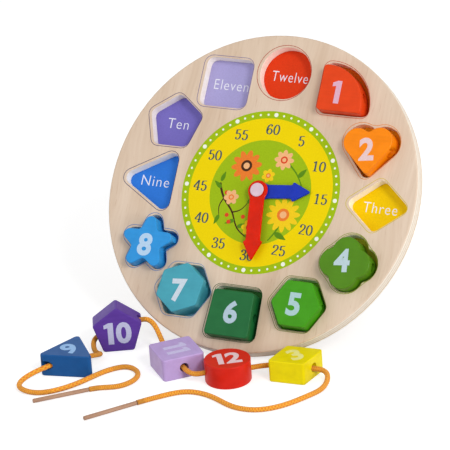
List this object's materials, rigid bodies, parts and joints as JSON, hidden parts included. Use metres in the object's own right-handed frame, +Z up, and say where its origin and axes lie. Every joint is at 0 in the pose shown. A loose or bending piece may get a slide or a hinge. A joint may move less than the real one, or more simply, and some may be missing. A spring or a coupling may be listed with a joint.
{
  "type": "wooden clock puzzle",
  "caption": "Leaning round wooden board with shaped recesses, turning clock hands, lift-out number blocks and a lace threaded through some of them.",
  "frame": {"origin": "on the back face of the board, above its centre, where a prop or a hand holds it", "axes": "+Z up, +X to the board's right seen from the front, +Y to the back; the board leans back about 38 degrees from upright"},
  "size_m": [0.286, 0.3195, 0.2274],
  "materials": {
    "front_birch": "clear satin varnish over pale plywood",
    "back_birch": "plain sanded plywood",
    "block_1_paint": "semi-gloss paint on hardwood",
    "block_2_paint": "semi-gloss paint on hardwood",
    "block_3_paint": "semi-gloss paint on hardwood",
    "block_4_paint": "semi-gloss paint on hardwood",
    "block_5_paint": "semi-gloss paint on hardwood",
    "block_6_paint": "semi-gloss paint on hardwood",
    "block_7_paint": "semi-gloss paint on hardwood",
    "block_8_paint": "semi-gloss paint on hardwood",
    "block_9_paint": "semi-gloss paint on hardwood",
    "block_10_paint": "semi-gloss paint on hardwood",
    "block_11_paint": "semi-gloss paint on hardwood",
    "block_12_paint": "semi-gloss paint on hardwood",
    "hour_hand_gloss": "glossy",
    "minute_hand_gloss": "glossy",
    "pin_plastic": "satin",
    "pin_steel": "pressed steel",
    "lace_cord": "fine braided cord",
    "lace_tip_wood": "bare dowel"
  },
  "bodies": {
    "board": {"front_panel": "front_birch", "back_panel": "back_birch", "clock_pin": "pin_plastic", "lower_washer": "pin_plastic", "upper_washer": "pin_plastic", "pin_collar": "pin_steel"},
    "hour_hand": {"hour_hand": "hour_hand_gloss"},
    "minute_hand": {"minute_hand": "minute_hand_gloss"},
    "seated_1": {"block_1": "block_1_paint"},
    "seated_2": {"block_2": "block_2_paint"},
    "seated_4": {"block_4": "block_4_paint"},
    "seated_5": {"block_5": "block_5_paint"},
    "seated_6": {"block_6": "block_6_paint"},
    "seated_7": {"block_7": "block_7_paint"},
    "seated_8": {"block_8": "block_8_paint"},
    "lace_set": {"lace": "lace_cord", "lace_tip_1": "lace_tip_wood", "lace_tip_2": "lace_tip_wood"},
    "laced_9": {"block_9": "block_9_paint"},
    "laced_10": {"block_10": "block_10_paint"},
    "laced_11": {"block_11": "block_11_paint"},
    "laced_12": {"block_12": "block_12_paint"},
    "laced_3": {"block_3": "block_3_paint"}
  },
  "joints": [
    {"name": "hour_turn", "type": "hinge", "parent": "board", "child": "hour_hand", "pos_m": [0, -0.0535, -0.04697], "axis": [0, -0.7859, 0.6184], "continuous": true},
    {"name": "minute_turn", "type": "hinge", "parent": "board", "child": "minute_hand", "pos_m": [0, -0.0535, -0.04697], "axis": [0, -0.7859, 0.6184], "continuous": true},
    {"name": "block_1_lift", "type": "slide", "parent": "board", "child": "seated_1", "axis": [0, -0.7859, 0.6184], "range_m": [0, 0.03]},
    {"name": "block_2_lift", "type": "slide", "parent": "board", "child": "seated_2", "axis": [0, -0.7859, 0.6184], "range_m": [0, 0.03]},
    {"name": "block_4_lift", "type": "slide", "parent": "board", "child": "seated_4", "axis": [0, -0.7859, 0.6184], "range_m": [0, 0.03]},
    {"name": "block_5_lift", "type": "slide", "parent": "board", "child": "seated_5", "axis": [0, -0.7859, 0.6184], "range_m": [0, 0.03]},
    {"name": "block_6_lift", "type": "slide", "parent": "board", "child": "seated_6", "axis": [0, -0.7859, 0.6184], "range_m": [0, 0.03]},
    {"name": "block_7_lift", "type": "slide", "parent": "board", "child": "seated_7", "axis": [0, -0.7859, 0.6184], "range_m": [0, 0.03]},
    {"name": "block_8_lift", "type": "slide", "parent": "board", "child": "seated_8", "axis": [0, -0.7859, 0.6184], "range_m": [0, 0.03]},
    {"name": "lace_lift", "type": "slide", "parent": "board", "child": "lace_set", "axis": [0, -0.7859, 0.6184], "range_m": [0, 0.1]},
    {"name": "block_9_along_lace", "type": "slide", "parent": "lace_set", "child": "laced_9", "axis": [0.6468, 0.7627, 0], "range_m": [0, 0.0015]},
    {"name": "block_10_along_lace", "type": "slide", "parent": "lace_set", "child": "laced_10", "axis": [0.8397, 0.4465, 0.309], "range_m": [0, 0.0008]},
    {"name": "block_11_along_lace", "type": "slide", "parent": "lace_set", "child": "laced_11", "axis": [0.7096, -0.7046, 0], "range_m": [-0.002, 0.002]},
    {"name": "block_12_along_lace", "type": "slide", "parent": "lace_set", "child": "laced_12", "axis": [0.866, 0.5, 0], "range_m": [-0.0015, 0.0015]},
    {"name": "block_3_along_lace", "type": "slide", "parent": "lace_set", "child": "laced_3", "axis": [0.9981, 0.0615, 0], "range_m": [-0.001, 0.0015]}
  ]
}
